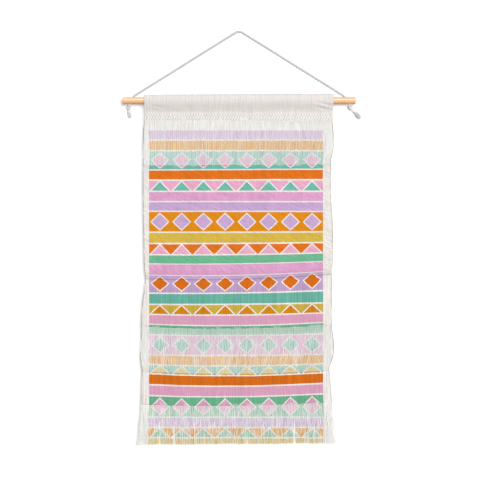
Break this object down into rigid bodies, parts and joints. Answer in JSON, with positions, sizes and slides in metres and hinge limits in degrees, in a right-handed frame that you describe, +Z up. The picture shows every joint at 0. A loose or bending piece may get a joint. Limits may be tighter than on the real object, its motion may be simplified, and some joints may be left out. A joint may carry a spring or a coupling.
{
  "type": "textile wall hanging on wooden rod",
  "caption": "Fringed woven cloth with a sewn sleeve on a wooden rod, hung by a knotted twisted cord from one point on a wall.",
  "frame": {"origin": "the hang point: the underside of the cord at its apex, where a nail or hook bears", "axes": "+Z up, +X to the right of a viewer in front, and the front of the cloth faces -Y; the wall is on the +Y side"},
  "size_m": [0.4169, 0.0168, 0.7211],
  "materials": {
    "wood": "sanded and clear-varnished pale wood",
    "cloth": "natural woven cotton with a printed pattern",
    "fringe_yarn": "loose cotton warp ends, lightly printed",
    "cotton_cord": "white twisted cotton cord"
  },
  "bodies": {
    "root": {"dowel": "wood", "cloth": "cloth", "fringe": "fringe_yarn", "cord": "cotton_cord", "knot_left": "cotton_cord", "knot_right": "cotton_cord"}
  },
  "joints": []
}
